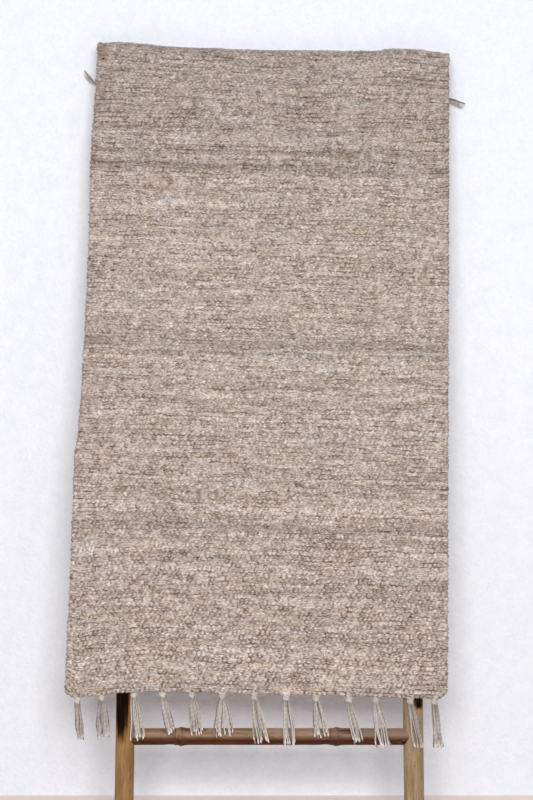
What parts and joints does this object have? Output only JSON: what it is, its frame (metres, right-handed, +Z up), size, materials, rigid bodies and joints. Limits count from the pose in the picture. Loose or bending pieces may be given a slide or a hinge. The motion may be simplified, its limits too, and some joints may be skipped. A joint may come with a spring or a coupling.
{
  "type": "tapestry wall hanging",
  "caption": "Thick handwoven tapestry with knotted tassels at both ends, draped over the top of a leaning bamboo ladder that carries it against a wall.",
  "frame": {"origin": "on the floor, under the middle of the object's box", "axes": "+Z up; +Y towards the wall that the ladder leans on; +X to the right seen from the front"},
  "size_m": [0.7647, 0.28, 1.4884],
  "materials": {
    "left_bamboo": "semi-gloss natural skin, flame-darkened near the lowest rung",
    "right_bamboo": "semi-gloss natural skin",
    "rung_bamboo": "semi-gloss skin, burnt at the joints",
    "peg_bamboo": "matt split bamboo",
    "woven_wool": "thick weft-faced weave of heathered wool, matt",
    "tassel_cotton": "twisted cotton threads, matt"
  },
  "bodies": {
    "ladder": {"left_pole": "left_bamboo", "right_pole": "right_bamboo", "rung_1": "rung_bamboo", "rung_2": "rung_bamboo", "rung_3": "rung_bamboo", "rung_4": "rung_bamboo", "rung_5": "rung_bamboo", "rung_pegs": "peg_bamboo"},
    "draped_fold": {"top_fold": "woven_wool", "back_flap": "woven_wool"},
    "front": {"front_panel": "woven_wool"},
    "front_tassel_01": {"front_tassel_01": "tassel_cotton"},
    "front_tassel_02": {"front_tassel_02": "tassel_cotton"},
    "front_tassel_03": {"front_tassel_03": "tassel_cotton"},
    "front_tassel_04": {"front_tassel_04": "tassel_cotton"},
    "front_tassel_05": {"front_tassel_05": "tassel_cotton"},
    "front_tassel_06": {"front_tassel_06": "tassel_cotton"},
    "front_tassel_07": {"front_tassel_07": "tassel_cotton"},
    "front_tassel_08": {"front_tassel_08": "tassel_cotton"},
    "front_tassel_09": {"front_tassel_09": "tassel_cotton"},
    "front_tassel_10": {"front_tassel_10": "tassel_cotton"},
    "front_tassel_11": {"front_tassel_11": "tassel_cotton"},
    "front_tassel_12": {"front_tassel_12": "tassel_cotton"},
    "front_tassel_13": {"front_tassel_13": "tassel_cotton"},
    "back_tassel_01": {"back_tassel_01": "tassel_cotton"},
    "back_tassel_02": {"back_tassel_02": "tassel_cotton"},
    "back_tassel_03": {"back_tassel_03": "tassel_cotton"},
    "back_tassel_04": {"back_tassel_04": "tassel_cotton"},
    "back_tassel_05": {"back_tassel_05": "tassel_cotton"},
    "back_tassel_06": {"back_tassel_06": "tassel_cotton"},
    "back_tassel_07": {"back_tassel_07": "tassel_cotton"},
    "back_tassel_08": {"back_tassel_08": "tassel_cotton"},
    "back_tassel_09": {"back_tassel_09": "tassel_cotton"},
    "back_tassel_10": {"back_tassel_10": "tassel_cotton"},
    "back_tassel_11": {"back_tassel_11": "tassel_cotton"},
    "back_tassel_12": {"back_tassel_12": "tassel_cotton"},
    "back_tassel_13": {"back_tassel_13": "tassel_cotton"}
  },
  "joints": [
    {"name": "tapestry_lift", "type": "slide", "parent": "ladder", "child": "draped_fold", "axis": [0, 0.1564, 0.9877], "range_m": [0, 0.16]},
    {"name": "front_swing", "type": "hinge", "parent": "draped_fold", "child": "front", "pos_m": [0.0016, 0.08043, 1.45391], "axis": [-0.9997, 0.0039, 0.0246], "range_deg": [0, 40]},
    {"name": "front_tassel_01_swing", "type": "hinge", "parent": "front", "child": "front_tassel_01", "pos_m": [-0.35942, -0.11038, 0.23001], "axis": [-0.9997, 0.0039, 0.0246], "range_deg": [-45, 60]},
    {"name": "front_tassel_02_swing", "type": "hinge", "parent": "front", "child": "front_tassel_02", "pos_m": [-0.31427, -0.10952, 0.23544], "axis": [-0.9997, 0.0039, 0.0246], "range_deg": [-45, 60]},
    {"name": "front_tassel_03_swing", "type": "hinge", "parent": "front", "child": "front_tassel_03", "pos_m": [-0.25513, -0.10874, 0.24033], "axis": [-0.9997, 0.0039, 0.0246], "range_deg": [0, 60]},
    {"name": "front_tassel_04_swing", "type": "hinge", "parent": "front", "child": "front_tassel_04", "pos_m": [-0.2021, -0.10864, 0.24095], "axis": [-0.9997, 0.0039, 0.0246], "range_deg": [0, 60]},
    {"name": "front_tassel_05_swing", "type": "hinge", "parent": "front", "child": "front_tassel_05", "pos_m": [-0.14812, -0.10885, 0.23962], "axis": [-0.9997, 0.0039, 0.0246], "range_deg": [0, 60]},
    {"name": "front_tassel_06_swing", "type": "hinge", "parent": "front", "child": "front_tassel_06", "pos_m": [-0.09213, -0.10907, 0.23824], "axis": [-0.9997, 0.0039, 0.0246], "range_deg": [0, 60]},
    {"name": "front_tassel_07_swing", "type": "hinge", "parent": "front", "child": "front_tassel_07", "pos_m": [-0.03315, -0.1093, 0.23679], "axis": [-0.9997, 0.0039, 0.0246], "range_deg": [0, 60]},
    {"name": "front_tassel_08_swing", "type": "hinge", "parent": "front", "child": "front_tassel_08", "pos_m": [0.02583, -0.10953, 0.23533], "axis": [-0.9997, 0.0039, 0.0246], "range_deg": [0, 60]},
    {"name": "front_tassel_09_swing", "type": "hinge", "parent": "front", "child": "front_tassel_09", "pos_m": [0.08081, -0.10975, 0.23398], "axis": [-0.9997, 0.0039, 0.0246], "range_deg": [0, 60]},
    {"name": "front_tassel_10_swing", "type": "hinge", "parent": "front", "child": "front_tassel_10", "pos_m": [0.14179, -0.10999, 0.23247], "axis": [-0.9997, 0.0039, 0.0246], "range_deg": [0, 60]},
    {"name": "front_tassel_11_swing", "type": "hinge", "parent": "front", "child": "front_tassel_11", "pos_m": [0.19078, -0.11018, 0.23127], "axis": [-0.9997, 0.0039, 0.0246], "range_deg": [0, 60]},
    {"name": "front_tassel_12_swing", "type": "hinge", "parent": "front", "child": "front_tassel_12", "pos_m": [0.25476, -0.11043, 0.22969], "axis": [-0.9997, 0.0039, 0.0246], "range_deg": [0, 60]},
    {"name": "front_tassel_13_swing", "type": "hinge", "parent": "front", "child": "front_tassel_13", "pos_m": [0.29875, -0.1106, 0.2286], "axis": [-0.9997, 0.0039, 0.0246], "range_deg": [-45, 60]},
    {"name": "back_tassel_01_swing", "type": "hinge", "parent": "draped_fold", "child": "back_tassel_01", "pos_m": [-0.30157, 0.12686, 1.40279], "axis": [-0.0039, -1, 0], "range_deg": [0, 120]},
    {"name": "back_tassel_02_swing", "type": "hinge", "parent": "draped_fold", "child": "back_tassel_02", "pos_m": [-0.25127, 0.13366, 1.40005], "axis": [-0.9997, 0.0039, 0.0246], "range_deg": [0, 12]},
    {"name": "back_tassel_03_swing", "type": "hinge", "parent": "draped_fold", "child": "back_tassel_03", "pos_m": [-0.20095, 0.13346, 1.39881], "axis": [-0.9997, 0.0039, 0.0246], "range_deg": [0, 12]},
    {"name": "back_tassel_04_swing", "type": "hinge", "parent": "draped_fold", "child": "back_tassel_04", "pos_m": [-0.15063, 0.13327, 1.39757], "axis": [-0.9997, 0.0039, 0.0246], "range_deg": [0, 12]},
    {"name": "back_tassel_05_swing", "type": "hinge", "parent": "draped_fold", "child": "back_tassel_05", "pos_m": [-0.10031, 0.13307, 1.39633], "axis": [-0.9997, 0.0039, 0.0246], "range_deg": [0, 12]},
    {"name": "back_tassel_06_swing", "type": "hinge", "parent": "draped_fold", "child": "back_tassel_06", "pos_m": [-0.04999, 0.13288, 1.39509], "axis": [-0.9997, 0.0039, 0.0246], "range_deg": [0, 12]},
    {"name": "back_tassel_07_swing", "type": "hinge", "parent": "draped_fold", "child": "back_tassel_07", "pos_m": [0.00032, 0.13268, 1.39385], "axis": [-0.9997, 0.0039, 0.0246], "range_deg": [0, 12]},
    {"name": "back_tassel_08_swing", "type": "hinge", "parent": "draped_fold", "child": "back_tassel_08", "pos_m": [0.05064, 0.13248, 1.39261], "axis": [-0.9997, 0.0039, 0.0246], "range_deg": [0, 12]},
    {"name": "back_tassel_09_swing", "type": "hinge", "parent": "draped_fold", "child": "back_tassel_09", "pos_m": [0.10096, 0.13229, 1.39137], "axis": [-0.9997, 0.0039, 0.0246], "range_deg": [0, 12]},
    {"name": "back_tassel_10_swing", "type": "hinge", "parent": "draped_fold", "child": "back_tassel_10", "pos_m": [0.15128, 0.13209, 1.39013], "axis": [-0.9997, 0.0039, 0.0246], "range_deg": [0, 12]},
    {"name": "back_tassel_11_swing", "type": "hinge", "parent": "draped_fold", "child": "back_tassel_11", "pos_m": [0.20159, 0.13189, 1.38888], "axis": [-0.9997, 0.0039, 0.0246], "range_deg": [0, 12]},
    {"name": "back_tassel_12_swing", "type": "hinge", "parent": "draped_fold", "child": "back_tassel_12", "pos_m": [0.25191, 0.1317, 1.38764], "axis": [-0.9997, 0.0039, 0.0246], "range_deg": [0, 12]},
    {"name": "back_tassel_13_swing", "type": "hinge", "parent": "draped_fold", "child": "back_tassel_13", "pos_m": [0.30224, 0.1245, 1.3879], "axis": [0.0039, 1, 0], "range_deg": [0, 82]}
  ]
}
